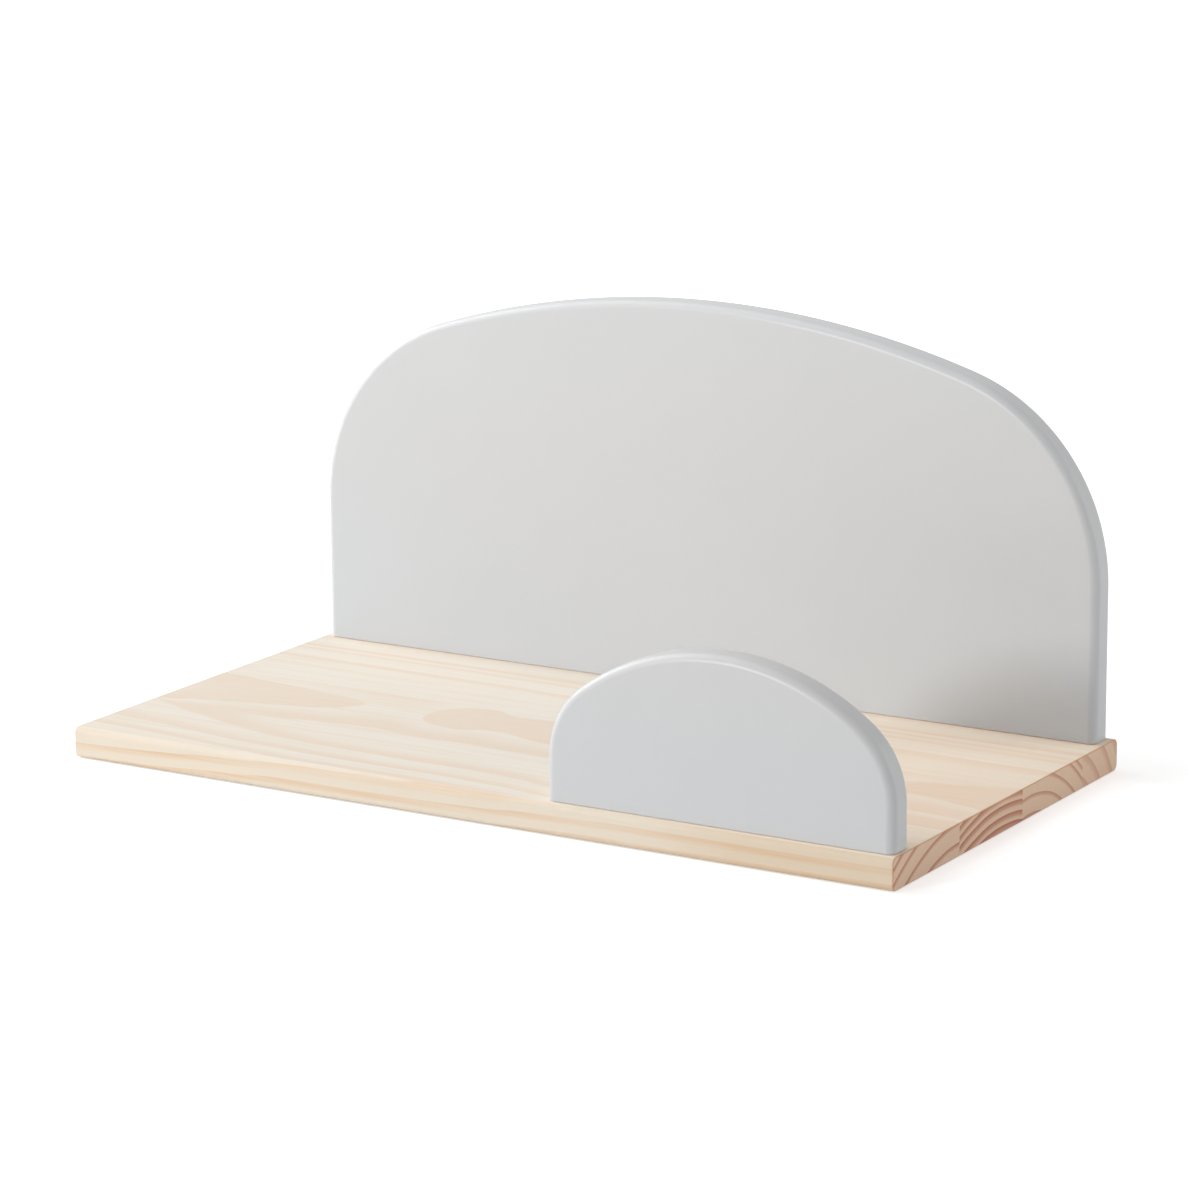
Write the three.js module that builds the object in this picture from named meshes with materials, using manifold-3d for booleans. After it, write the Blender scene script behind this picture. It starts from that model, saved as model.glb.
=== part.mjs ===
// Wall shelf: an edge-glued pine board with an arched back panel and a small arched lip.
// Millimetres. Seen from the front, +X runs to the right, +Y to the wall and +Z up.
// The origin is the middle of the board's underside.

import * as THREE from 'three';
import { mergeVertices, toCreasedNormals } from 'three/addons/utils/BufferGeometryUtils.js';
import Module from 'manifold-3d';

const wasm = await Module();
wasm.setup();

// Board
const boardWidth = 430;
const boardDepth = 222;
const boardThickness = 15;
const boardRoundOver = 3; // along the front and rear arrises
const boardEndEase = 0.8; // round both sawn ends, which keep a crisp edge
const staveWidth = 61.5; // the rear stave is ripped to what is left of the depth

// Uprights: the back panel and the front lip
const uprightThickness = 15;
const uprightRoundOver = 4; // front and rear arrises of the arch
const panelHeight = 187; // above the board
const panelCrownRadius = 480;
const panelShoulderRadius = 98;
const panelEndReveal = 3.5; // how far the panel stands in from either end of the board
const panelRearReveal = 2.5; // and from its rear edge
const lipWidth = 171;
const lipHeight = 76; // above the board
const lipCrownRadius = 114;
const lipShoulderRadius = 42;
const lipEndReveal = 1.5; // how far the lip stands in from the board's right end
const lipFrontReveal = 3; // and from its front edge

// Dowels between the board and the uprights
const dowelDiameter = 8;
const dowelLength = 30;
const dowelChamfer = 1;
const dowelDepthInBoard = 10;
const dowelEndRoom = 0.5; // left for glue at both ends of the hole
const lipDowelInset = 24; // from the lip's ends

// Screws from below into the uprights
const screwDiameter = 4;
const screwLength = 40;
const screwHeadDiameter = 8;
const screwTipLength = 6;
const screwHeadRecess = 0.5; // below the board's surface
const panelScrewInset = 46.5; // outer screws from the panel's ends; one more is in the middle
const lipScrewInset = 56; // from the lip's ends

// Keyhole hangers in the rear face of the back panel
const hangerHeight = 50;
const hangerWidth = 18;
const hangerThickness = 2;
const hangerSpacing = 250;
const hangerHeightAboveBoard = 115;
const keyholeEntryDiameter = 11;
const keyholeSlotWidth = 5.5;
const keyholeTravel = 10; // from the entry's centre up to the slot's end
const hangerBevel = 0.4; // eases the edges of the plate's outer face
const headRoomDepth = 8; // hollow behind the plate for the head of the wall screw
const headRoomMargin = 1.5; // how much wider that hollow is than the entry
const hangerScrewDiameter = 3;
const hangerScrewLength = 12;
const hangerScrewHeadDiameter = 6;
const hangerScrewTipLength = 3;
const hangerScrewSpacing = 38;

// Fits, all measured per side
const dowelClearance = 0.2;
const screwClearance = 0.25;
const pocketClearance = 0.25;

// Cross recess in the screw heads, as shares of the head's diameter
const recessSpan = 0.55;
const recessWidth = 0.12;
const recessDepth = 0.2;
const headRim = 0.3; // height of the cylindrical rim above the countersunk cone

// Fineness of the curves
const archSteps = 12;
const roundOverSteps = 5;
const endEaseSteps = 2;
const plateBevelSteps = 1; // a flat bevel
const turnedSteps = 24;
const cutterOverrun = 2; // how far a cutter runs out of the surface that it opens
const weldDistance = 1e-4;
const creaseAngle = THREE.MathUtils.degToRad(35);

// Places worked out from the sizes above
const boardFront = -boardDepth / 2;
const boardRear = boardDepth / 2;
const panelRear = boardRear - panelRearReveal;
const panelMiddleY = panelRear - uprightThickness / 2;
const lipRear = boardFront + lipFrontReveal + uprightThickness;
const lipMiddleY = lipRear - uprightThickness / 2;
const panelWidth = boardWidth - 2 * panelEndReveal;
const lipMiddleX = boardWidth / 2 - lipEndReveal - lipWidth / 2;
const panelScrewX = panelWidth / 2 - panelScrewInset;
const panelDowelX = panelScrewX / 2;
const lipScrewX = lipWidth / 2 - lipScrewInset;
const lipDowelX = lipWidth / 2 - lipDowelInset;
const hangerMiddleZ = boardThickness + hangerHeightAboveBoard;
const entryDrop = keyholeTravel / 2 - (keyholeEntryDiameter - keyholeSlotWidth) / 4;

const pine = new THREE.MeshStandardMaterial({ color: 0xebdcc3, roughness: 0.6, metalness: 0 });
const paint = new THREE.MeshStandardMaterial({ color: 0xdadada, roughness: 0.42, metalness: 0 });
const beech = new THREE.MeshStandardMaterial({ color: 0xd9b78c, roughness: 0.7, metalness: 0 });
const zincSteel = new THREE.MeshStandardMaterial({ color: 0xc4c6c8, roughness: 0.35, metalness: 1 });

// Closed three.js geometry to a solid: vertices welded by position, collapsed triangles left out.
function toSolid(geometry) {
  const bare = geometry.clone();
  bare.deleteAttribute('normal');
  bare.deleteAttribute('uv');
  const welded = mergeVertices(bare, weldDistance);
  const corners = welded.index.array;
  const triVerts = [];
  for (let i = 0; i < corners.length; i += 3) {
    const [a, b, c] = corners.slice(i, i + 3);
    if (a !== b && b !== c && c !== a) triVerts.push(a, b, c);
  }
  return new wasm.Manifold(new wasm.Mesh({
    numProp: 3,
    vertProperties: Float32Array.from(welded.attributes.position.array),
    triVerts: Uint32Array.from(triVerts),
  }));
}

function toMesh(name, solid, material) {
  const { vertProperties, triVerts } = solid.getMesh();
  const geometry = new THREE.BufferGeometry();
  geometry.setAttribute('position', new THREE.BufferAttribute(Float32Array.from(vertProperties), 3));
  geometry.setIndex(new THREE.BufferAttribute(Uint32Array.from(triVerts), 1));
  const mesh = new THREE.Mesh(toCreasedNormals(geometry, creaseAngle), material);
  mesh.name = name;
  return mesh;
}

function cutAll(solid, cutters) {
  return cutters.reduce((rest, cutter) => rest.subtract(cutter), solid);
}

// Box given by its lowest and highest corner.
function boxBetween(low, high) {
  const size = high.map((value, axis) => value - low[axis]);
  const middle = high.map((value, axis) => (value + low[axis]) / 2);
  return toSolid(new THREE.BoxGeometry(...size).translate(...middle));
}

// Board blank: its section, with rounded corners, extruded from end to end with both ends eased.
function boardBlank() {
  const radius = boardRoundOver;
  const across = boardDepth / 2 - radius;
  const up = boardThickness / 2 - radius;
  const section = new THREE.Shape();
  section.absarc(across, up, radius, 0, Math.PI / 2, false);
  section.absarc(-across, up, radius, Math.PI / 2, Math.PI, false);
  section.absarc(-across, -up, radius, Math.PI, 1.5 * Math.PI, false);
  section.absarc(across, -up, radius, 1.5 * Math.PI, 2 * Math.PI, false);
  section.closePath();
  const blank = new THREE.ExtrudeGeometry(section, {
    depth: boardWidth - 2 * boardEndEase,
    bevelEnabled: true,
    bevelThickness: boardEndEase,
    bevelSize: boardEndEase,
    bevelOffset: -boardEndEase,
    bevelSegments: endEaseSteps,
    curveSegments: roundOverSteps,
  });
  blank.rotateX(Math.PI / 2).rotateZ(Math.PI / 2);
  return toSolid(blank.translate(boardEndEase - boardWidth / 2, 0, boardThickness / 2));
}

// Staves of the board, front to rear, glued edge to edge.
function makeStaves(cutters) {
  const blank = cutAll(boardBlank(), cutters);
  const names = ['stave_front', 'stave_front_middle', 'stave_rear_middle', 'stave_rear'];
  const joints = names.slice(1).map((name, i) => boardFront + (i + 1) * staveWidth);
  const edges = [boardFront - cutterOverrun, ...joints, boardRear + cutterOverrun];
  const reach = boardWidth / 2 + cutterOverrun;
  return names.map((name, i) => {
    const slice = boxBetween(
      [-reach, edges[i], -cutterOverrun],
      [reach, edges[i + 1], boardThickness + cutterOverrun],
    );
    return toMesh(name, blank.intersect(slice), pine);
  });
}

// Arch outline: upright sides, a shoulder arc on each side and one shallow crown arc, all tangent.
// It runs below the foot line so that the round-over fades out before the foot is cut.
function archShape(width, height, crownRadius, shoulderRadius) {
  const side = width / 2;
  const foot = -2 * uprightRoundOver;
  const shoulderX = side - shoulderRadius;
  const crownY = height - crownRadius;
  const shoulderY = crownY + Math.sqrt((crownRadius - shoulderRadius) ** 2 - shoulderX ** 2);
  const meeting = Math.atan2(shoulderY - crownY, shoulderX);
  const shape = new THREE.Shape();
  shape.moveTo(-side, foot);
  shape.lineTo(side, foot);
  shape.absarc(shoulderX, shoulderY, shoulderRadius, 0, meeting, false);
  shape.absarc(0, crownY, crownRadius, meeting, Math.PI - meeting, false);
  shape.absarc(-shoulderX, shoulderY, shoulderRadius, Math.PI - meeting, Math.PI, false);
  shape.closePath();
  return shape;
}

// Upright standing on the board: the arch extruded with rounded arrises, its foot cut flat.
function uprightSolid(shape, middleX, rearY) {
  const arch = new THREE.ExtrudeGeometry(shape, {
    depth: uprightThickness - 2 * uprightRoundOver,
    bevelEnabled: true,
    bevelThickness: uprightRoundOver,
    bevelSize: uprightRoundOver,
    bevelOffset: -uprightRoundOver,
    bevelSegments: roundOverSteps,
    curveSegments: archSteps,
  });
  arch.rotateX(Math.PI / 2);
  arch.translate(middleX, rearY - uprightRoundOver, boardThickness);
  const belowFoot = boxBetween(
    [-boardWidth, -boardDepth, -boardThickness],
    [boardWidth, boardDepth, boardThickness],
  );
  return toSolid(arch).subtract(belowFoot);
}

// Turned form about an upright axis, from [radius, height] pairs going up, both ends on the axis.
function turned(profile) {
  const points = profile.map(([radius, height]) => new THREE.Vector2(radius, height));
  return new THREE.LatheGeometry(points, turnedSteps).rotateX(Math.PI / 2);
}

function dowelGeometry() {
  const radius = dowelDiameter / 2;
  return turned([
    [0, 0],
    [radius - dowelChamfer, 0],
    [radius, dowelChamfer],
    [radius, dowelLength - dowelChamfer],
    [radius - dowelChamfer, dowelLength],
    [0, dowelLength],
  ]);
}

function dowelHoleGeometry() {
  const radius = dowelDiameter / 2 + dowelClearance;
  const top = dowelLength + dowelEndRoom;
  return turned([[0, -dowelEndRoom], [radius, -dowelEndRoom], [radius, top], [0, top]]);
}

// Countersunk screw with its head at height 0 and its point up.
function screwProfile({ diameter, length, headDiameter, tipLength }) {
  const shank = diameter / 2;
  const head = headDiameter / 2;
  return [
    [0, 0],
    [head, 0],
    [head, headRim],
    [shank, headRim + head - shank],
    [shank, length - tipLength],
    [0, length],
  ];
}

// Hole for that screw, with its clearance, running out past the head.
function screwHoleGeometry({ diameter, length, headDiameter, tipLength }) {
  const shank = diameter / 2 + screwClearance;
  const head = headDiameter / 2 + screwClearance;
  return turned([
    [0, -cutterOverrun],
    [head, -cutterOverrun],
    [head, headRim],
    [shank, headRim + head - shank],
    [shank, length - tipLength],
    [screwClearance, length + screwClearance],
    [0, length + screwClearance],
  ]);
}

function screwSolid(size) {
  const span = recessSpan * size.headDiameter;
  const width = recessWidth * size.headDiameter;
  const depth = recessDepth * size.headDiameter;
  const slotAcross = boxBetween([-span / 2, -width / 2, -cutterOverrun], [span / 2, width / 2, depth]);
  const slotAlong = boxBetween([-width / 2, -span / 2, -cutterOverrun], [width / 2, span / 2, depth]);
  return cutAll(toSolid(turned(screwProfile(size))), [slotAcross, slotAlong]);
}

const mainScrew = {
  diameter: screwDiameter,
  length: screwLength,
  headDiameter: screwHeadDiameter,
  tipLength: screwTipLength,
};

const hangerScrew = {
  diameter: hangerScrewDiameter,
  length: hangerScrewLength,
  headDiameter: hangerScrewHeadDiameter,
  tipLength: hangerScrewTipLength,
};

// Upright slot with round ends, whose centres lie at lowZ and highZ.
function slotShape(radius, lowZ, highZ) {
  const shape = new THREE.Shape();
  shape.absarc(0, highZ, radius, 0, Math.PI, false);
  shape.absarc(0, lowZ, radius, Math.PI, 2 * Math.PI, false);
  shape.closePath();
  return shape;
}

// Keyhole: the round entry below, and the slot rising out of it.
function keyholePath() {
  const entry = keyholeEntryDiameter / 2;
  const slot = keyholeSlotWidth / 2;
  const mouth = Math.acos(slot / entry);
  const path = new THREE.Path();
  path.absarc(0, keyholeTravel - entryDrop, slot, 0, Math.PI, false);
  path.absarc(0, -entryDrop, entry, Math.PI - mouth, 2 * Math.PI + mouth, false);
  path.closePath();
  return path;
}

// Extrudes a shape drawn in the X-Z plane towards -Y, its rear face at rearY.
function extrudeForward(shape, depth, x, rearY, z) {
  const form = new THREE.ExtrudeGeometry(shape, {
    depth,
    bevelEnabled: false,
    curveSegments: archSteps,
  });
  return form.rotateX(Math.PI / 2).translate(x, rearY, z);
}

function hangerPlateSolid(x, screwHoles) {
  const radius = hangerWidth / 2;
  const end = (hangerHeight - hangerWidth) / 2;
  const outline = slotShape(radius, -end, end);
  outline.holes.push(keyholePath());
  const plate = new THREE.ExtrudeGeometry(outline, {
    depth: hangerThickness - hangerBevel,
    bevelEnabled: true,
    bevelThickness: hangerBevel,
    bevelSize: hangerBevel,
    bevelOffset: -hangerBevel,
    bevelSegments: plateBevelSteps,
    curveSegments: archSteps,
  });
  plate.rotateX(Math.PI / 2).translate(x, panelRear - hangerBevel, hangerMiddleZ);
  const seat = boxBetween(
    [-boardWidth, 0, 0],
    [boardWidth, panelRear - hangerThickness, panelHeight + boardThickness],
  );
  return cutAll(toSolid(plate), [seat, ...screwHoles]);
}

// Pocket for a plate and, behind its keyhole, the deeper hollow for the wall screw's head.
function hangerPocketCutters(x) {
  const radius = hangerWidth / 2 + pocketClearance;
  const end = (hangerHeight - hangerWidth) / 2;
  const pocket = slotShape(radius, -end, end);
  const hollowRadius = keyholeEntryDiameter / 2 + headRoomMargin;
  const hollow = slotShape(hollowRadius, -entryDrop, keyholeTravel - entryDrop);
  const mouth = panelRear + cutterOverrun;
  const pocketDepth = hangerThickness + cutterOverrun;
  return [
    toSolid(extrudeForward(pocket, pocketDepth, x, mouth, hangerMiddleZ)),
    toSolid(extrudeForward(hollow, pocketDepth + headRoomDepth, x, mouth, hangerMiddleZ)),
  ];
}

const group = new THREE.Group();

// Dowels and screws between the board and the uprights, with the holes that they need.
const joinery = [];
const joineryHoles = [];

function addDowel(name, x, y) {
  const z = boardThickness - dowelDepthInBoard;
  joinery.push(toMesh(name, toSolid(dowelGeometry()).translate([x, y, z]), beech));
  joineryHoles.push(toSolid(dowelHoleGeometry()).translate([x, y, z]));
}

function addScrew(name, x, y) {
  const place = [x, y, screwHeadRecess];
  joinery.push(toMesh(name, screwSolid(mainScrew).translate(place), zincSteel));
  joineryHoles.push(toSolid(screwHoleGeometry(mainScrew)).translate(place));
}

addDowel('panel_dowel_left', -panelDowelX, panelMiddleY);
addDowel('panel_dowel_right', panelDowelX, panelMiddleY);
addDowel('lip_dowel_left', lipMiddleX - lipDowelX, lipMiddleY);
addDowel('lip_dowel_right', lipMiddleX + lipDowelX, lipMiddleY);
addScrew('panel_screw_left', -panelScrewX, panelMiddleY);
addScrew('panel_screw_middle', 0, panelMiddleY);
addScrew('panel_screw_right', panelScrewX, panelMiddleY);
addScrew('lip_screw_left', lipMiddleX - lipScrewX, lipMiddleY);
addScrew('lip_screw_right', lipMiddleX + lipScrewX, lipMiddleY);

// Keyhole hangers, with the pockets and screw holes that they need.
const hangers = [];
const hangerCuts = [];

function addHanger(side, x) {
  const rises = { top: hangerScrewSpacing / 2, bottom: -hangerScrewSpacing / 2 };
  const holes = [];
  for (const [end, rise] of Object.entries(rises)) {
    const place = [x, panelRear, hangerMiddleZ + rise];
    const screw = screwSolid(hangerScrew).rotate([90, 0, 0]).translate(place);
    hangers.push(toMesh(`hanger_screw_${side}_${end}`, screw, zincSteel));
    holes.push(toSolid(screwHoleGeometry(hangerScrew)).rotate([90, 0, 0]).translate(place));
  }
  hangers.push(toMesh(`hanger_plate_${side}`, hangerPlateSolid(x, holes), zincSteel));
  hangerCuts.push(...hangerPocketCutters(x), ...holes);
}

addHanger('left', -hangerSpacing / 2);
addHanger('right', hangerSpacing / 2);

const panelShape = archShape(panelWidth, panelHeight, panelCrownRadius, panelShoulderRadius);
const lipShape = archShape(lipWidth, lipHeight, lipCrownRadius, lipShoulderRadius);
const panel = cutAll(uprightSolid(panelShape, 0, panelRear), [...joineryHoles, ...hangerCuts]);
const lip = cutAll(uprightSolid(lipShape, lipMiddleX, lipRear), joineryHoles);

group.add(
  ...makeStaves(joineryHoles),
  toMesh('back_panel', panel, paint),
  toMesh('front_lip', lip, paint),
  ...joinery,
  ...hangers,
);

export default group;
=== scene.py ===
# Wall shelf in lacquered pine and satin grey paint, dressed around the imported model.
# Metres. Seen from the front, +X runs to the right, +Y to the wall and +Z up.

import math

import bmesh
import bpy
from mathutils import Matrix, Vector


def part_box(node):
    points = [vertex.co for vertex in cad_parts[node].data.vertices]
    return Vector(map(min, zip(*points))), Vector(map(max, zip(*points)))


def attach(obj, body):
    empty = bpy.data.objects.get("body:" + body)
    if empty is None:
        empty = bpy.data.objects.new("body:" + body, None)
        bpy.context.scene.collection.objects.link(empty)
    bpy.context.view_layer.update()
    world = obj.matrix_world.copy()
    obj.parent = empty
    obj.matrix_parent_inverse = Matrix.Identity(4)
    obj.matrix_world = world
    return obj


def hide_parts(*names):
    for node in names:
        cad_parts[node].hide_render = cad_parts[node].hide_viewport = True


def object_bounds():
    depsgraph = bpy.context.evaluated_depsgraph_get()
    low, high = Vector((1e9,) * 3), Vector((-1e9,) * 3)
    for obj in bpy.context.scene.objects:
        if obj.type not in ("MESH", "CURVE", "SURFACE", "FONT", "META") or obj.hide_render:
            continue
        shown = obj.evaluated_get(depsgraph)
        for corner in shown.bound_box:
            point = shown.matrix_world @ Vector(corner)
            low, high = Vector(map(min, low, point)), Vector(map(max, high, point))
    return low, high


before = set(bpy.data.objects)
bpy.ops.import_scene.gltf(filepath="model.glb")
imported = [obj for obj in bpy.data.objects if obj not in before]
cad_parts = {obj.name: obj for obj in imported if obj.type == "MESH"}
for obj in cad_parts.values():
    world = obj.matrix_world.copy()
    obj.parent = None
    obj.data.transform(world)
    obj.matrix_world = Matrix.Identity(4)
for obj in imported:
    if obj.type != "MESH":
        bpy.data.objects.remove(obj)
cad_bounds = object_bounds()

MM = 0.001
BODY = "root"

# Photograph: the camera, solved from the shelf's own edges in the 1188 x 1188 frame
PHOTO_SIZE = 1188
FOCAL_LENGTH_PX = 4453.6
SENSOR_WIDTH = 36
CAMERA_PLACE = Vector((1.03876, -1.69745, 0.55122))
CAMERA_YAW = math.radians(31.418)
CAMERA_PITCH = math.radians(13.302)
CAMERA_ROLL = math.radians(-0.454)
CAMERA_REACH = 50  # how far it sees

# Board, in the frame's own sizes
STAVES = ("stave_front", "stave_front_middle", "stave_rear_middle", "stave_rear")
BOARD_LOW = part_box(STAVES[0])[0]
BOARD_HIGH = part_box(STAVES[-1])[1]
BOARD_ROUND_OVER = 3 * MM  # front and rear arrises
BOARD_END_EASE = 0.8 * MM  # round both sawn ends

# Uprights
UPRIGHT_ROUND_OVER = 4 * MM
ARCHES = {
    "back_panel": {"crown": 480 * MM, "shoulder": 98 * MM},
    "front_lip": {"crown": 114 * MM, "shoulder": 42 * MM},
}
FOOT_EASE = 0.7 * MM  # rounds the foot's lower edge, which leaves a fine shadow line on the board

# Fixings
DOWEL_CLEARANCE = 0.2 * MM
DOWEL_END_ROOM = 0.5 * MM
SCREW_CLEARANCE = 0.25 * MM
HEAD_RIM = 0.3 * MM  # height of the cylindrical rim above the countersunk cone
HEAD_EASE = 0.15 * MM
OVERRUN = 2 * MM  # how far a cutter runs out of the surface that it opens
# Screws under the uprights and in the hanger plates: the shank's radius, and lengths of tip and pitch
UPRIGHT_SCREW = {"shank": 2 * MM, "tip": 6 * MM, "pitch": 1.8 * MM}
HANGER_SCREW = {"shank": 1.5 * MM, "tip": 3 * MM, "pitch": 1.35 * MM}
THREAD_DEPTH = 0.3  # share of the shank's radius
THREAD_START = 0.3  # share of the length, from the top of the head, that has no thread
POINT_WIDTH = 0.05  # share of the shank's radius left at the screw's point

# The driver's cross in head radii, as (depth, reach of an arm, half its width). Its mouth lies above the
# head and has the last two alone.
CROSS = ((0, 0.58, 0.14), (0.45, 0.24, 0.09), (0.5, 0.1, 0.05))
CROSS_MOUTH = (0.6, 0.15)

# Keyhole hangers: heights are measured from the plate's middle
PLATE_BEVEL = 0.4 * MM
POCKET_CLEARANCE = 0.25 * MM
KEYHOLE_ENTRY_RADIUS = 5.5 * MM
KEYHOLE_SLOT_RADIUS = 2.75 * MM
KEYHOLE_ENTRY_Z = -3.625 * MM
KEYHOLE_SLOT_Z = 6.375 * MM
HEAD_ROOM_DEPTH = 8 * MM
HEAD_ROOM_RADIUS = 7 * MM
HAIR = 0.001 * MM  # keeps the two half circles of a round hole apart

# Fineness of the curves
ROUND_OVER_STEPS = 10
SHOULDER_STEPS = 40
CROWN_STEPS = 120
TURNED_STEPS = 48
THREAD_STEPS = 8
EASE_STEPS = 3
SMOOTH_ANGLE = math.radians(30)
ON_PLANE = 0.05 * MM  # points this close to a plane lie on it


# Materials: short calls that build their nodes

def srgb(red, green, blue):
    """A colour written as 0 to 255 screen values, as the linear colour that shaders take."""
    def linear(value):
        value /= 255
        return value / 12.92 if value <= 0.04045 else ((value + 0.055) / 1.055) ** 2.4
    return (linear(red), linear(green), linear(blue), 1)


class Shader:
    """A material with short calls that add and join its nodes."""

    def __init__(self, name):
        self.material = bpy.data.materials.new(name)
        self.material.use_nodes = True
        self.tree = self.material.node_tree
        self.surface = self.tree.nodes["Principled BSDF"]

    def add(self, kind, inputs=None, **settings):
        """A new node with its inputs fed and its settings set."""
        node = self.tree.nodes.new(kind)
        for key, value in settings.items():
            setattr(node, key, value)
        for key, value in (inputs or {}).items():
            self.feed(node.inputs[key], value)
        return node

    def feed(self, socket, value):
        """Links another node's socket to this one, or sets a plain value on it."""
        if isinstance(value, bpy.types.NodeSocket):
            self.tree.links.new(value, socket)
        else:
            socket.default_value = value

    def math(self, operation, *values):
        return self.add("ShaderNodeMath", dict(enumerate(values)), operation=operation).outputs[0]

    def remap(self, value, low, high, new_low=0, new_high=1, kind="LINEAR"):
        """The value carried from the range low to high to the new one, and held inside it."""
        ranges = {"From Min": low, "From Max": high, "To Min": new_low, "To Max": new_high}
        node = self.add("ShaderNodeMapRange", {"Value": value, **ranges}, interpolation_type=kind)
        return node.outputs["Result"]

    def mix(self, factor, first, second, blend="MIX"):
        node = self.add("ShaderNodeMix", data_type="RGBA", blend_type=blend)
        for index, value in ((0, factor), (6, first), (7, second)):
            self.feed(node.inputs[index], value)
        return node.outputs[2]

    def place(self, scale):
        """The point on the surface, in the shelf's frame, in units of scale metres along each axis."""
        point = self.add("ShaderNodeTexCoord").outputs["Object"]
        factors = tuple(1 / size for size in scale)
        node = self.add("ShaderNodeVectorMath", {0: point, 1: factors}, operation="MULTIPLY")
        return node.outputs["Vector"]

    def split(self, vector):
        """The X, Y and Z of a vector."""
        return self.add("ShaderNodeSeparateXYZ", {"Vector": vector}).outputs

    def noise(self, scale, detail=2, roughness=0.5, offset=None):
        """Noise whose grains have the given size along each axis."""
        vector = self.place(scale)
        if offset:
            node = self.add("ShaderNodeVectorMath", {0: vector, 1: offset}, operation="ADD")
            vector = node.outputs["Vector"]
        inputs = {"Vector": vector, "Scale": 1, "Detail": detail, "Roughness": roughness}
        return self.add("ShaderNodeTexNoise", inputs).outputs["Fac"]

    def curve(self, value, points):
        """A smooth curve through (input, output) points, for any range of either."""
        inputs, outputs = zip(*points)
        low, high = min(outputs), max(outputs)
        span = high - low
        node = self.add("ShaderNodeFloatCurve", {"Value": self.remap(value, inputs[0], inputs[-1])})
        line = node.mapping.curves[0]
        for index, (place, height) in enumerate(points):
            spot = ((place - inputs[0]) / (inputs[-1] - inputs[0]), (height - low) / span)
            if index == 0:
                line.points[0].location = spot
            elif index == len(points) - 1:
                line.points[-1].location = spot
            else:
                line.points.new(*spot)
        node.mapping.update()
        return self.remap(node.outputs[0], 0, 1, low, high)

    def finish(self, colour, roughness, height, depth, strength):
        """Gives the surface its colour, roughness and relief, and returns the material."""
        bump = self.add("ShaderNodeBump", {"Height": height, "Distance": depth, "Strength": strength})
        self.feed(self.surface.inputs["Base Color"], colour)
        self.feed(self.surface.inputs["Roughness"], roughness)
        self.feed(self.surface.inputs["Normal"], bump.outputs["Normal"])
        return self.material


# Wood: growth rings as cylinders round a pith that lies below each stave, in millimetres

# pith is its (y, z) at the right end, and rise and drift say how it climbs and sidesteps from there, as
# (x, offset) points along the board. rings are the radii where a ring ends, and latewood is how wide the
# dark part of a ring is. depth, from 0 to 1, is how dark that part shows on the ends.
GROWTH = {
    "stave_front": {
        "pith": (-47, -83),
        "rings": (80, 89.6, 99.2, 107.3, 113, 118.7, 126, 130),
        "latewood": 1.9,
        "depth": 0.9,
        "rise": (
            (-215, -9.4), (-165, -7.3), (-140, -5.7), (-115, -4.6), (-100, -3.9), (-44, -3.3),
            (10, -2.7), (35, -1), (215, 0),
        ),
    },
    "stave_front_middle": {
        "pith": (-8, -98),
        "rings": (97, 101.3, 105.4, 110.3, 114.5, 118.8, 123.5, 128),
        "latewood": 2.6,
        "depth": 1,
        "rise": (
            (-215, -2.6), (-165, -4.6), (-117, -5.8), (-100, -6.2), (-86, -5.8), (-60, -4.3),
            (-42, -5.1), (-27, -4.7), (40, -3.6), (110, -2.4), (165, -1.5), (215, 0),
        ),
        "drift": ((-215, -13), (-150, -6), (-100, -3), (-60, 0), (215, 0)),
    },
    "stave_rear_middle": {
        "pith": (20, -50),
        "rings": (43.5, 52, 60.3, 68.5, 77, 80.8, 86),
        "latewood": 1.7,
        "depth": 0.75,
        "rise": ((-215, 4.7), (-130, 4.2), (-90, 3.8), (0, 2.4), (120, 1), (215, 0)),
        "drift": ((-215, 3), (0, 2), (215, 0)),
    },
    "stave_rear": {
        "pith": (55, -24),
        "rings": (24, 35, 45, 56.5, 66),
        "latewood": 3.5,
        "depth": 0.45,
        "rise": ((-215, 2), (0, 1.1), (215, 0)),
        "drift": ((-215, -3), (0, -2), (215, 0)),
    },
}

WANDER = 0.6  # how far rings stray from round, in millimetres
WANDER_SIZE = (55 * MM, 26 * MM, 26 * MM)
FRAY = 0.15  # and how ragged their edges are
FRAY_SIZE = (30 * MM, 2 * MM, 2 * MM)
RING_EDGE = 0.12  # width of the step from latewood to the next ring
LATEWOOD_SHARE = 0.6  # most of a ring's width that counts as latewood
RING_TONES = ((1.5, 0.1), (0.8, 0.8), (0, 1))  # (latewood widths before the ring's end, tone there)
SEED_STEP = 3.7  # sets the noise of the staves apart

# Fibres and streaks run along the board
FIBRE_SIZE = (45 * MM, 0.5 * MM, 0.5 * MM)
STREAK_SIZE = (110 * MM, 2.2 * MM, 2.2 * MM)
NOISE_SPAN = (0.3, 0.7)  # most of a noise's values lie here
NOISE_CRESTS = (0.4, 0.7)  # and its higher ones here
FIBRE_CRESTS = (0.4, 0.75)
STREAKED_LATEWOOD = 0.65  # share of latewood's tone that is left in a streak
STREAK_SHARE = 0.6  # how strongly streaks and fibres show on the long grain, and fibres on the ends
FIBRE_SHARE = 0.4
PORE_SHARE = 0.45

# Where the surface turns from a face to a long edge, by its normal's Z, and where it turns to an end, by X
EDGE_TURN = (0.97, 0.8)
END_TURN = (0.35, 0.7)
ARRIS_TURN = (0.8, 0.99)
ARRIS_SHARE = 0.8

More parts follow.
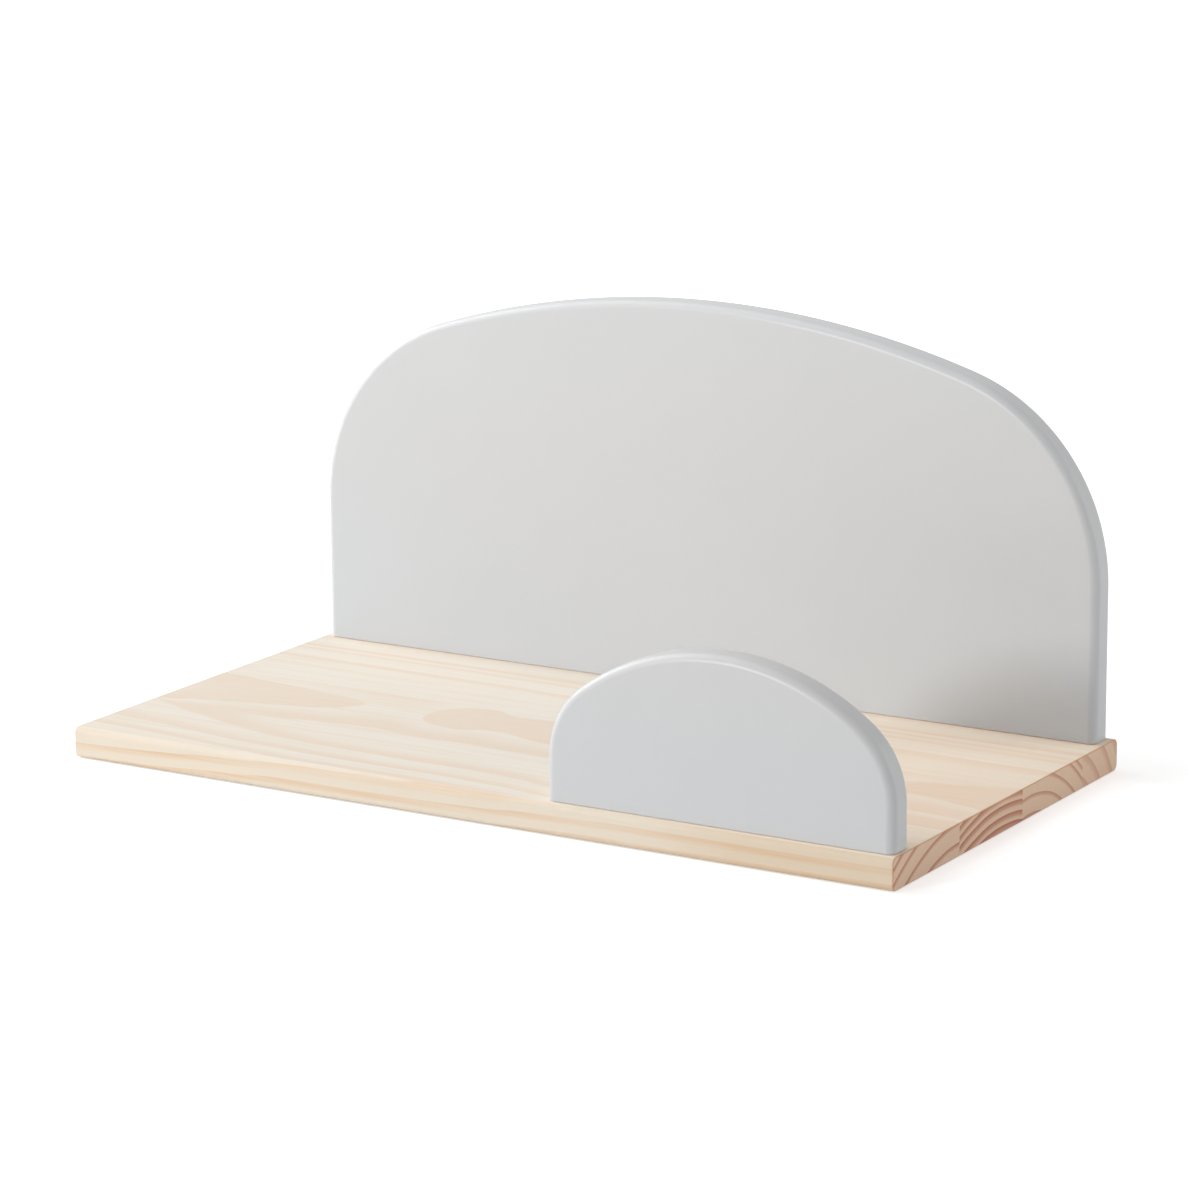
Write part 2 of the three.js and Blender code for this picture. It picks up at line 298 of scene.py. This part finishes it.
FACE_CREAM = srgb(243, 237, 226)
FACE_TAN = srgb(237, 218, 199)
FACE_STREAK = srgb(238, 224, 206)
EDGE_CREAM = srgb(235, 225, 208)
EDGE_TAN = srgb(230, 199, 165)
END_PALE = srgb(249, 220, 193)
END_DARK = srgb(188, 104, 76)
END_PORE = srgb(236, 190, 160)
ARRIS = srgb(226, 168, 122)
END_CONTRAST = 3  # narrows the dark rings on the ends

# The wood turns warmer towards the right end: factors for its colour there, and where it happens. On the
# faces the factors also lift it above its own colour, which is painted light where the uprights shade the
# board.
FACE_WARMTH_AND_LIFT = (1.10, 1.03, 0.97, 1)
EDGE_WARMTH = (0.96, 0.905, 0.84, 1)
FACE_WARM_LIFT_FROM = 20
EDGE_WARM_FROM = 90
WARM_LIFT_TO = 140

EARLYWOOD_ROUGHNESS = 0.85
LATEWOOD_ROUGHNESS = 0.75
PINE_GLOSS = 0.2
LATEWOOD_HEIGHT = 0.35  # beside a fibre's
PINE_RELIEF = (0.05 * MM, 0.6)  # its depth, and how strongly it shows


def pith_distance(shader, growth, place, seed):
    """How far a point lies from the pith, with rings that stray and fray a little."""
    pith_y, pith_z = growth["pith"]
    if "drift" in growth:
        pith_y = shader.math("ADD", shader.curve(place["X"], growth["drift"]), pith_y)
    pith_z = shader.math("ADD", shader.curve(place["X"], growth["rise"]), pith_z)
    across = shader.math("SUBTRACT", place["Y"], pith_y)
    up = shader.math("SUBTRACT", place["Z"], pith_z)
    square = shader.math("ADD", shader.math("MULTIPLY", across, across), shader.math("MULTIPLY", up, up))
    wander = shader.noise(WANDER_SIZE, detail=1, offset=(seed, seed, 0))
    fray = shader.noise(FRAY_SIZE, offset=(0, seed, seed))
    radius = shader.math("SQRT", square)
    for noise, reach in ((wander, WANDER), (fray, FRAY)):
        radius = shader.math("ADD", radius, shader.remap(noise, 0, 1, -reach, reach))
    return radius


def ring_tone(shader, radius, rings, latewood):
    """How much latewood there is at a radius: none after a ring's end, then rising to full at the next."""
    low, high = rings[0], rings[-1]
    ramp = shader.add("ShaderNodeValToRGB", {"Fac": shader.remap(radius, low, high)})
    stops = []
    for inner, outer in zip(rings, rings[1:]):
        width = min(latewood, LATEWOOD_SHARE * (outer - inner))
        stops.append((inner + RING_EDGE, 0))
        stops += [(outer - widths * width, tone) for widths, tone in RING_TONES]
    elements = ramp.color_ramp.elements
    elements.remove(elements[1])
    elements[0].position, elements[0].color = 0, (0, 0, 0, 1)
    for place, tone in stops:
        element = elements.new((place - low) / (high - low))
        element.color = (tone, tone, tone, 1)
    return ramp.outputs["Color"]


def long_grain(shader, latewood, streak, fibre, along, edge_share):
    """Colour of the faces, and of the long edges, which cut across the rings and show deeper colour."""
    cream = shader.mix(edge_share, FACE_CREAM, EDGE_CREAM)
    tan = shader.mix(edge_share, FACE_TAN, EDGE_TAN)
    tone = shader.math("MULTIPLY", latewood, shader.remap(streak, *NOISE_SPAN, 1, STREAKED_LATEWOOD))
    streaks = shader.remap(streak, *NOISE_CRESTS, 0, STREAK_SHARE)
    fibres = shader.remap(fibre, *FIBRE_CRESTS, 0, FIBRE_SHARE)
    colour = shader.mix(shader.math("ADD", streaks, fibres), shader.mix(tone, cream, tan), FACE_STREAK)
    # Warmer towards the right end; on the faces this also paints light over the shade that the uprights cast
    # on the board.
    warmth_and_lift = shader.mix(edge_share, FACE_WARMTH_AND_LIFT, EDGE_WARMTH)
    warm_lift_from = shader.remap(edge_share, 0, 1, FACE_WARM_LIFT_FROM, EDGE_WARM_FROM)
    return shader.mix(shader.remap(along, warm_lift_from, WARM_LIFT_TO), colour, warmth_and_lift, "MULTIPLY")


def end_grain(shader, latewood, fibre, depth, turn):
    """Colour of the sawn ends: dark rings, pores, and an arris that soaks up more finish."""
    dark = shader.math("MULTIPLY", shader.math("POWER", latewood, END_CONTRAST), depth)
    colour = shader.mix(dark, END_PALE, END_DARK)
    colour = shader.mix(shader.remap(fibre, *NOISE_CRESTS, 0, PORE_SHARE), colour, END_PORE)
    return shader.mix(shader.remap(turn, *ARRIS_TURN, ARRIS_SHARE, 0), colour, ARRIS)


def pine(stave, seed):
    """Pale lacquered pine with the growth rings of one stave."""
    shader = Shader("pine_" + stave)
    growth = GROWTH[stave]
    place = shader.split(shader.place((MM, MM, MM)))
    radius = pith_distance(shader, growth, place, seed)
    latewood = ring_tone(shader, radius, growth["rings"], growth["latewood"])
    fibre = shader.noise(FIBRE_SIZE, detail=3, roughness=0.6)
    streak = shader.noise(STREAK_SIZE, roughness=0.6, offset=(seed, 0, seed))
    normal = shader.split(shader.add("ShaderNodeNewGeometry").outputs["Normal"])
    edge_share = shader.remap(shader.math("ABSOLUTE", normal["Z"]), *EDGE_TURN)
    turn = shader.math("ABSOLUTE", normal["X"])
    sides = long_grain(shader, latewood, streak, fibre, place["X"], edge_share)
    ends = end_grain(shader, latewood, fibre, growth["depth"], turn)
    colour = shader.mix(shader.remap(turn, *END_TURN, kind="SMOOTHSTEP"), sides, ends)
    roughness = shader.remap(latewood, 0, 1, EARLYWOOD_ROUGHNESS, LATEWOOD_ROUGHNESS)
    shader.surface.inputs["Specular IOR Level"].default_value = PINE_GLOSS
    height = shader.math("ADD", shader.math("MULTIPLY", latewood, LATEWOOD_HEIGHT), fibre)
    return shader.finish(colour, roughness, height, *PINE_RELIEF)


# Paint, zinc and beech

# The same paint on both uprights, given two tints that are painted light: each is shifted a shade so that
# both render the same neutral grey in the light that falls on them.
PANEL_GREYS_LIGHT_MATCHED = (srgb(211, 212, 213), srgb(214, 215, 216))
LIP_GREYS_LIGHT_MATCHED = (srgb(209, 208, 207), srgb(212, 211, 210))
BOUNCE_CANCEL_TINT = (0.972, 1, 1.03, 1)  # painted light: cools the paint low down to cancel the warm light that the board bounces onto it
# Height up to which the painted cool tint against the board's bounce light fades out
BOUNCE_CANCEL_TOP = 130 * MM
CLOUD_SIZE = (60 * MM, 60 * MM, 60 * MM)
PAINT_ROUGHNESS = (0.34, 0.4)
PEEL_SIZE = (1.6 * MM, 1.6 * MM, 1.6 * MM)
PEEL_RELIEF = (0.02 * MM, 0.35)

ZINC_GREYS = (srgb(186, 190, 196), srgb(214, 216, 218))
ZINC_ROUGHNESS = (0.25, 0.42)
RUBBED_SIZE = (5 * MM, 5 * MM, 5 * MM)
SPANGLE_SIZE = (1.2 * MM, 1.2 * MM, 1.2 * MM)
SPANGLE_RELIEF = (0.01 * MM, 0.4)

BEECH_BROWNS = (srgb(205, 164, 118), srgb(226, 190, 146))
BEECH_ROUGHNESS = 0.65
FLECK_SIZE = (0.5 * MM, 0.5 * MM, 4 * MM)
FLECK_RELIEF = (0.05 * MM, 0.5)


def satin_paint(name, greys):
    """Sprayed light grey paint on MDF: a faint orange peel, a slightly uneven sheen, and a painted cooler
    tint low down that cancels the board's warm bounce light.
    """
    shader = Shader(name)
    cloud = shader.noise(CLOUD_SIZE)
    height = shader.split(shader.place((1, 1, 1)))["Z"]
    # Painted light: low down the paint is cooled to cancel the warm light bounced from the board.
    bounce_cancel = shader.remap(height, BOUNCE_CANCEL_TOP, BOARD_HIGH.z, kind="SMOOTHSTEP")
    colour = shader.mix(bounce_cancel, shader.mix(cloud, *greys), BOUNCE_CANCEL_TINT, "MULTIPLY")
    roughness = shader.remap(cloud, *NOISE_SPAN, *PAINT_ROUGHNESS)
    return shader.finish(colour, roughness, shader.noise(PEEL_SIZE), *PEEL_RELIEF)


def zinc_plate():
    """Bright zinc plating with its fine spangle and a few rubbed spots."""
    shader = Shader("zinc_plate")
    spangle = shader.noise(SPANGLE_SIZE, detail=3)
    shader.surface.inputs["Metallic"].default_value = 1
    roughness = shader.remap(shader.noise(RUBBED_SIZE), *NOISE_SPAN, *ZINC_ROUGHNESS)
    return shader.finish(shader.mix(spangle, *ZINC_GREYS), roughness, spangle, *SPANGLE_RELIEF)


def beech():
    """Bare beech whose fine flecks stand along the dowels."""
    shader = Shader("beech")
    fleck = shader.noise(FLECK_SIZE, detail=3)
    return shader.finish(shader.mix(fleck, *BEECH_BROWNS), BEECH_ROUGHNESS, fleck, *FLECK_RELIEF)


# Meshes

def new_object(name, mesh):
    obj = bpy.data.objects.new(name, mesh)
    bpy.context.scene.collection.objects.link(obj)
    return obj


def object_from_bmesh(name, form):
    bmesh.ops.recalc_face_normals(form, faces=form.faces)
    mesh = bpy.data.meshes.new(name)
    form.to_mesh(mesh)
    form.free()
    return new_object(name, mesh)


def lofted(rings):
    """Closed form through rings of the same number of points, flat at both ends."""
    form = bmesh.new()
    rows = [[form.verts.new(point) for point in ring] for ring in rings]
    count = len(rows[0])
    for lower, upper in zip(rows, rows[1:]):
        for i in range(count):
            j = (i + 1) % count
            form.faces.new((lower[i], lower[j], upper[j], upper[i]))
    form.faces.new(rows[0])
    form.faces.new(rows[-1])
    return form


def round_over(radius, length):
    """(inset, height) pairs across a slab whose two arrises are rounded by radius."""
    turns = [step / ROUND_OVER_STEPS * math.pi / 2 for step in range(ROUND_OVER_STEPS + 1)]
    start = [(radius * (1 - math.sin(turn)), radius * (1 - math.cos(turn))) for turn in turns]
    return start + [(inset, length - height) for inset, height in reversed(start)]


def board_section(inset, x):
    """The board's rounded section at x, drawn in by inset."""
    radius = BOARD_ROUND_OVER - inset
    middle = (BOARD_LOW + BOARD_HIGH) / 2
    reach_y = (BOARD_HIGH.y - BOARD_LOW.y) / 2 - BOARD_ROUND_OVER
    reach_z = (BOARD_HIGH.z - BOARD_LOW.z) / 2 - BOARD_ROUND_OVER
    points = []
    for quarter in range(4):
        side_y = 1 if quarter in (0, 3) else -1
        side_z = 1 if quarter in (0, 1) else -1
        for step in range(ROUND_OVER_STEPS + 1):
            turn = (quarter + step / ROUND_OVER_STEPS) * math.pi / 2
            y = middle.y + side_y * reach_y + radius * math.cos(turn)
            z = middle.z + side_z * reach_z + radius * math.sin(turn)
            points.append((x, y, z))
    return points


def board_form():
    """The whole board, before it is cut into staves."""
    profile = round_over(BOARD_END_EASE, BOARD_HIGH.x - BOARD_LOW.x)
    return lofted([board_section(inset, BOARD_LOW.x + distance) for inset, distance in profile])


def sliced(form, y, keep_rear):
    """Cuts a form along the plane at y, keeps one side and closes it."""
    geometry = form.verts[:] + form.edges[:] + form.faces[:]
    cut = bmesh.ops.bisect_plane(
        form, geom=geometry, plane_co=(0, y, 0), plane_no=(0, 1, 0),
        clear_inner=keep_rear, clear_outer=not keep_rear,
    )
    edges = [item for item in cut["geom_cut"] if isinstance(item, bmesh.types.BMEdge)]
    bmesh.ops.edgeloop_fill(form, edges=edges)


def make_stave(node):
    """One stave, cut out of the board along its joints."""
    low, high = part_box(node)
    form = board_form()
    if node != STAVES[0]:
        sliced(form, low.y, keep_rear=True)
    if node != STAVES[-1]:
        sliced(form, high.y, keep_rear=False)
    return object_from_bmesh(node + "_wood", form)


def arch_points(half_width, height, crown, shoulder):
    """(x, z, outward x, outward z) from the right foot over the arch to the left foot."""
    shoulder_x = half_width - shoulder
    crown_z = height - crown
    shoulder_z = crown_z + math.sqrt((crown - shoulder) ** 2 - shoulder_x ** 2)
    meeting = math.atan2(shoulder_z - crown_z, shoulder_x)
    right = [(half_width, 0, 1, 0)]
    for step in range(SHOULDER_STEPS + 1):
        turn = step / SHOULDER_STEPS * meeting
        c, s = math.cos(turn), math.sin(turn)
        right.append((shoulder_x + shoulder * c, shoulder_z + shoulder * s, c, s))
    top = []
    for step in range(1, CROWN_STEPS):
        turn = meeting + step / CROWN_STEPS * (math.pi - 2 * meeting)
        c, s = math.cos(turn), math.sin(turn)
        top.append((crown * c, crown_z + crown * s, c, s))
    left = [(-x, z, -c, s) for x, z, c, s in reversed(right)]
    return right + top + left


def make_upright(node):
    """An arch with rounded front and rear arrises. Its foot is cut flat, and eased along its edge."""
    low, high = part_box(node)
    arch = ARCHES[node]
    middle_x = (low.x + high.x) / 2
    outline = arch_points((high.x - low.x) / 2, high.z - low.z, arch["crown"], arch["shoulder"])
    rings = []
    for inset, depth in round_over(UPRIGHT_ROUND_OVER, high.y - low.y):
        y = low.y + depth
        rings.append([(middle_x + x - inset * c, y, low.z + z - inset * s) for x, z, c, s in outline])
    form = lofted(rings)
    bmesh.ops.recalc_face_normals(form, faces=form.faces)
    foot = [edge for edge in form.edges if all(vert.co.z < low.z + ON_PLANE for vert in edge.verts)]
    rim = [edge for edge in foot if edge.calc_face_angle() > SMOOTH_ANGLE]
    bmesh.ops.bevel(form, geom=rim, offset=FOOT_EASE, segments=EASE_STEPS, profile=0.5, affect="EDGES")
    return object_from_bmesh(node + "_painted", form)


def stadium(middle, radius, low_z, high_z, y):
    """Upright slot with round ends, centred at heights from its middle, as a ring of points at y."""
    steps = TURNED_STEPS // 2
    points = []
    for centre, start in ((high_z, 0), (low_z, math.pi)):
        for step in range(steps + 1):
            turn = start + step / steps * math.pi
            z = middle.z + centre + radius * math.sin(turn)
            points.append((middle.x + radius * math.cos(turn), y, z))
    return points


def slot_cutter(name, middle, radius, low_z, high_z, front, rear):
    """A cutter in the shape of an upright slot, from front to rear."""
    rings = [stadium(middle, radius, low_z, high_z, y) for y in (front, rear)]
    return object_from_bmesh(name, lofted(rings))


def cut_with(obj, cutters):
    """Takes the cutters out of an object for good."""
    for cutter in cutters:
        modifier = obj.modifiers.new("cut", "BOOLEAN")
        modifier.operation = "DIFFERENCE"
        modifier.solver = "EXACT"
        modifier.object = cutter
    graph = bpy.context.evaluated_depsgraph_get()
    mesh = bpy.data.meshes.new_from_object(obj.evaluated_get(graph))
    obj.modifiers.clear()
    obj.data = mesh
    for cutter in cutters:
        bpy.data.objects.remove(cutter)


def turned_form(profile):
    """Turned form about the Z axis, from (radius, height) pairs whose ends lie near the axis."""
    rings = []
    for radius, height in profile:
        turns = [step / TURNED_STEPS * 2 * math.pi for step in range(TURNED_STEPS)]
        rings.append([(radius * math.cos(turn), radius * math.sin(turn), height) for turn in turns])
    return lofted(rings)


def smooth(obj):
    """Smooth shading that stops at edges and keeps flat faces flat."""
    obj.data.shade_smooth()
    obj.data.set_sharp_from_angle(angle=SMOOTH_ANGLE)
    modifier = obj.modifiers.new("flat_faces_stay_flat", "WEIGHTED_NORMAL")
    modifier.keep_sharp = True
    modifier.weight = 100  # the largest face decides


def dress(obj, node, material):
    """Gives a piece its material and smooth shading, hangs it on the body, and hides the CAD node that it
    replaces.
    """
    obj.data.materials.clear()
    obj.data.materials.append(material)
    smooth(obj)
    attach(obj, BODY)
    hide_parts(node)


# Camera, floor and light

def add_camera():
    """The photograph's camera, turned as its own yaw, pitch and roll say."""
    sin_yaw, cos_yaw = math.sin(CAMERA_YAW), math.cos(CAMERA_YAW)
    sin_pitch, cos_pitch = math.sin(CAMERA_PITCH), math.cos(CAMERA_PITCH)
    forward = Vector((-sin_yaw * cos_pitch, cos_yaw * cos_pitch, -sin_pitch))
    level = Vector((cos_yaw, sin_yaw, 0))
    upright = level.cross(forward)
    right = level * math.cos(CAMERA_ROLL) + upright * math.sin(CAMERA_ROLL)
    up = upright * math.cos(CAMERA_ROLL) - level * math.sin(CAMERA_ROLL)
    data = bpy.data.cameras.new("camera")
    data.sensor_width = SENSOR_WIDTH
    data.lens = SENSOR_WIDTH * FOCAL_LENGTH_PX / PHOTO_SIZE
    data.clip_end = CAMERA_REACH
    camera = new_object("camera", data)
    turn = Matrix((right, up, -forward)).transposed().to_4x4()
    camera.matrix_world = Matrix.Translation(CAMERA_PLACE) @ turn
    bpy.context.scene.camera = camera


# Name, place, width, and the level that it brings a white card at the shelf to, where 1 is white
SOFTBOXES = (
    ("front", (-0.58, -1.75, 0.46), 0.34, 0.335),
    ("left", (-1.75, -0.15, 0.98), 1.10, 0.42),
    ("top_left", (-1.00, -0.25, 1.78), 1.60, 0.29),
    ("back_right", (1.30, 0.90, 0.60), 0.80, 0.14),
)
LIGHTS_AIM = Vector((0, 0, 0.08))


def add_softbox(name, place, width, level):
    """A round lamp whose power follows from its distance and the level that it gives."""
    away = LIGHTS_AIM - Vector(place)
    data = bpy.data.lights.new(name, "AREA")
    data.shape = "DISK"
    data.size = width
    data.energy = level * math.pi ** 2 * away.length_squared
    lamp = new_object(name, data)
    lamp.location = place
    lamp.rotation_euler = away.to_track_quat("-Z", "Y").to_euler()
    lamp.visible_camera = False


WORLD_LIGHT = 0.38  # ambient light on the object
FLOOR_REACH = 15
FLOOR_GAP = 0.2 * MM  # keeps the floor clear of the board's underside
FLOOR_GREY = (0.84, 0.84, 0.84, 1)
FLOOR_ROUGHNESS = 0.9

# What the camera and reflections see of the floor is lifted to white, and less near the shelf, where its
# shadow shows: the strengths, and the distances from the middle that they hold up to and from
FLOOR_LIFT_NEAR = 0.5
FLOOR_LIFT_FAR = 0.9
LIFT_NEAR = 0.35
LIFT_FAR = 1.6


def seen_directly(tree):
    """1 for camera, glossy and see-through rays, 0 for the rays that light things."""
    path = tree.nodes.new("ShaderNodeLightPath")
    total = path.outputs["Is Camera Ray"]
    for name in ("Is Glossy Ray", "Is Transmission Ray"):
        node = tree.nodes.new("ShaderNodeMath")
        node.operation = "MAXIMUM"
        tree.links.new(total, node.inputs[0])
        tree.links.new(path.outputs[name], node.inputs[1])
        total = node.outputs[0]
    return total


def add_world():
    """White to the camera and in reflections, and a plain ambient light for the rest."""
    world = bpy.data.worlds.new("studio")
    bpy.context.scene.world = world
    world.use_nodes = True
    tree = world.node_tree
    background = tree.nodes["Background"]
    background.inputs["Color"].default_value = (1, 1, 1, 1)
    strength = tree.nodes.new("ShaderNodeMapRange")
    strength.inputs["To Min"].default_value = WORLD_LIGHT
    strength.inputs["To Max"].default_value = 1
    tree.links.new(seen_directly(tree), strength.inputs["Value"])
    tree.links.new(strength.outputs["Result"], background.inputs["Strength"])


def add_floor():
    """A pale floor that takes the shelf's shadow and runs into the white background."""
    corners = ((-1, -1), (1, -1), (1, 1), (-1, 1))
    height = cad_bounds[0][2] - FLOOR_GAP
    points = [(x * FLOOR_REACH, y * FLOOR_REACH, height) for x, y in corners]
    mesh = bpy.data.meshes.new("floor")
    mesh.from_pydata(points, [], [(0, 1, 2, 3)])
    floor = new_object("floor", mesh)
    shader = Shader("floor")
    shader.surface.inputs["Base Color"].default_value = FLOOR_GREY
    shader.surface.inputs["Roughness"].default_value = FLOOR_ROUGHNESS
    shader.surface.inputs["Specular IOR Level"].default_value = 0
    distance = shader.add("ShaderNodeVectorMath", {0: shader.place((1, 1, 1))}, operation="LENGTH")
    strength = shader.remap(
        distance.outputs["Value"], LIFT_NEAR, LIFT_FAR, FLOOR_LIFT_NEAR, FLOOR_LIFT_FAR, "SMOOTHSTEP",
    )
    strength = shader.math("MULTIPLY", seen_directly(shader.tree), strength)
    lift = shader.add("ShaderNodeEmission", {"Color": (1, 1, 1, 1), "Strength": strength})
    parts = {0: shader.surface.outputs["BSDF"], 1: lift.outputs["Emission"]}
    total = shader.add("ShaderNodeAddShader", parts)
    shader.feed(shader.tree.nodes["Material Output"].inputs["Surface"], total.outputs["Shader"])
    mesh.materials.append(shader.material)


# Fixings

def middle_of(node):
    low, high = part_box(node)
    return (low + high) / 2


def stand(obj, node):
    """Puts a form that rises along Z from its head where the CAD node is: head down, or head to the rear."""
    low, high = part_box(node)
    obj.location = middle_of(node)
    if high.y - low.y > high.z - low.z:
        obj.location.y = high.y
        obj.rotation_euler = (math.radians(90), 0, 0)
    else:
        obj.location.z = low.z
    obj.data.transform(obj.matrix_basis)
    obj.matrix_basis = Matrix()
    return obj


def screw_sizes(node):
    """The sizes of a screw, with its head's radius and its length from the CAD node."""
    low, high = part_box(node)
    size = high - low
    sizes = HANGER_SCREW if node.startswith("hanger") else UPRIGHT_SCREW
    return {**sizes, "head": size.x / 2, "length": max(size.y, size.z)}


def screw_cutter(node):
    """The countersunk hole of a screw, opened past the head."""
    size = screw_sizes(node)
    shank = size["shank"] + SCREW_CLEARANCE
    head = size["head"] + SCREW_CLEARANCE
    cutter = object_from_bmesh(node + "_hole", turned_form([
        (head, -OVERRUN),
        (head, HEAD_RIM),
        (shank, HEAD_RIM + head - shank),
        (shank, size["length"] - size["tip"]),
        (SCREW_CLEARANCE, size["length"] + SCREW_CLEARANCE),
    ]))
    return stand(cutter, node)


def dowel_cutter(node):
    """The hole of a dowel, with room at both its ends."""
    low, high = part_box(node)
    radius = (high.x - low.x) / 2 + DOWEL_CLEARANCE
    length = high.z - low.z
    hole = turned_form([(radius, -DOWEL_END_ROOM), (radius, length + DOWEL_END_ROOM)])
    return stand(object_from_bmesh(node + "_hole", hole), node)


def joinery_of(prefix):
    """Cutters for the dowels and screws whose names start with prefix."""
    names = [name for name in sorted(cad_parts) if name.startswith(prefix)]
    return [dowel_cutter(name) if "dowel" in name else screw_cutter(name) for name in names]


def cross_cutter(node):
    """The driver's cross, which narrows as it goes down into the head."""
    head = screw_sizes(node)["head"]
    sections = [(-OVERRUN, *CROSS_MOUTH)] + [(depth * head, reach, half) for depth, reach, half in CROSS]
    rings = []
    for height, reach, half in sections:
        arm, side = reach * head, half * head
        ring = []
        for c, s in ((1, 0), (0, 1), (-1, 0), (0, -1)):
            for x, y in ((arm, -side), (arm, side), (side, side)):
                ring.append((x * c - y * s, x * s + y * c, height))
        rings.append(ring)
    return stand(object_from_bmesh(node + "_cross", lofted(rings)), node)


def threaded_form(size):
    """The threaded shank: one helical ridge round a core that runs out to a point."""
    start = max(THREAD_START * size["length"], HEAD_RIM + size["head"])
    step = size["pitch"] / THREAD_STEPS
    rings = []
    for row in range(int((size["length"] - start) / step) + 1):
        height = start + row * step
        taper = min(1, max((size["length"] - height) / size["tip"], POINT_WIDTH))
        ring = []
        for side in range(TURNED_STEPS):
            turn = side / TURNED_STEPS
            phase = (height / size["pitch"] - turn) % 1
            ridge = 1 - min(phase, 1 - phase) * 2
            radius = size["shank"] * taper * (1 - THREAD_DEPTH * (1 - ridge ** 2))
            angle = turn * 2 * math.pi
            ring.append((radius * math.cos(angle), radius * math.sin(angle), height))
        rings.append(ring)
    return lofted(rings)


def make_screw(node):
    """A countersunk head with its cross and plain neck, and a threaded shank that starts in that neck."""
    size = screw_sizes(node)
    core = size["shank"] * (1 - THREAD_DEPTH)
    neck = HEAD_RIM + size["head"] - core
    head = turned_form([
        (size["head"] - HEAD_EASE, 0),
        (size["head"], HEAD_EASE),
        (size["head"], HEAD_RIM),
        (core, neck),
        (core, max(THREAD_START * size["length"], neck) + size["pitch"]),
    ])
    screw = stand(object_from_bmesh(node + "_head", head), node)
    cut_with(screw, [cross_cutter(node)])
    thread = stand(object_from_bmesh(node + "_thread", threaded_form(size)), node)
    form = bmesh.new()
    form.from_mesh(screw.data)
    form.from_mesh(thread.data)
    form.to_mesh(screw.data)
    form.free()
    bpy.data.objects.remove(thread)
    screw.name = node + "_threaded"
    return screw


def plate_ends(node):
    """Radius of a hanger plate's round ends, and how far their centres lie from its middle."""
    low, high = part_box(node)
    radius = (high.x - low.x) / 2
    return radius, (high.z - low.z) / 2 - radius


def hanger_cutters(side):
    """The shallow pocket of a hanger plate and the deeper hollow for the wall screw's head."""
    node = "hanger_plate_" + side
    low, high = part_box(node)
    middle = middle_of(node)
    radius, end = plate_ends(node)
    mouth = high.y + OVERRUN
    bottom = low.y - HEAD_ROOM_DEPTH
    return [
        slot_cutter("pocket_" + side, middle, radius + POCKET_CLEARANCE, -end, end, low.y, mouth),
        slot_cutter(
            "hollow_" + side, middle, HEAD_ROOM_RADIUS, KEYHOLE_ENTRY_Z, KEYHOLE_SLOT_Z, bottom, mouth,
        ),
    ]


def keyhole_cutters(node):
    """The round entry for the wall screw's head and the slot for its shank."""
    low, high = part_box(node)
    middle = middle_of(node)
    depth = (low.y - OVERRUN, high.y + OVERRUN)
    entry = (KEYHOLE_ENTRY_RADIUS, KEYHOLE_ENTRY_Z, KEYHOLE_ENTRY_Z + HAIR)
    slot = (KEYHOLE_SLOT_RADIUS, KEYHOLE_ENTRY_Z, KEYHOLE_SLOT_Z)
    return [slot_cutter(node + "_keyhole", middle, *opening, *depth) for opening in (entry, slot)]


def make_plate(side):
    """A hanger plate with a bevelled rim, its keyhole and two screw holes."""
    node = "hanger_plate_" + side
    low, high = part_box(node)
    middle = middle_of(node)
    radius, end = plate_ends(node)
    rings = [stadium(middle, radius, -end, end, low.y)]
    for step in range(EASE_STEPS + 1):
        turn = step / EASE_STEPS * math.pi / 2
        inset = PLATE_BEVEL * (1 - math.cos(turn))
        rings.append(stadium(middle, radius - inset, -end, end, high.y - PLATE_BEVEL * (1 - math.sin(turn))))
    plate = object_from_bmesh(node + "_zinc", lofted(rings))
    cut_with(plate, keyhole_cutters(node) + joinery_of("hanger_screw_" + side))
    return plate


# The shelf

JOINERY_IN = {"stave_front": "lip_", "stave_rear": "panel_"}  # first words of the fixings in a stave


def add_board():
    """The four staves, cut for the dowels and screws of the uprights on them."""
    for index, node in enumerate(STAVES):
        stave = make_stave(node)
        if node in JOINERY_IN:
            cut_with(stave, joinery_of(JOINERY_IN[node]))
        dress(stave, node, pine(node, SEED_STEP * (index + 1)))


def add_back_panel(zinc):
    """The tall upright, with the hanger plates let into its rear face."""
    panel = make_upright("back_panel")
    cut_with(panel, joinery_of("panel_"))
    for side in ("left", "right"):
        cut_with(panel, hanger_cutters(side))
        cut_with(panel, joinery_of("hanger_screw_" + side))
        dress(make_plate(side), "hanger_plate_" + side, zinc)
    dress(panel, "back_panel", satin_paint("panel_paint", PANEL_GREYS_LIGHT_MATCHED))


def add_front_lip():
    """The small upright at the front right corner."""
    lip = make_upright("front_lip")
    cut_with(lip, joinery_of("lip_"))
    dress(lip, "front_lip", satin_paint("lip_paint", LIP_GREYS_LIGHT_MATCHED))


def add_fixings(zinc):
    """Threaded screws in place of the plain ones, and bare beech on the dowels, which stay as they are."""
    wood = beech()
    for name in sorted(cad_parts):
        if "screw" in name:
            dress(make_screw(name), name, zinc)
        elif "dowel" in name:
            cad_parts[name].data.materials.clear()
            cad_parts[name].data.materials.append(wood)


zinc = zinc_plate()
add_camera()
add_floor()
add_world()
for softbox in SOFTBOXES:
    add_softbox(*softbox)
bpy.context.scene.view_settings.view_transform = "Standard"
add_board()
add_back_panel(zinc)
add_front_lip()
add_fixings(zinc)
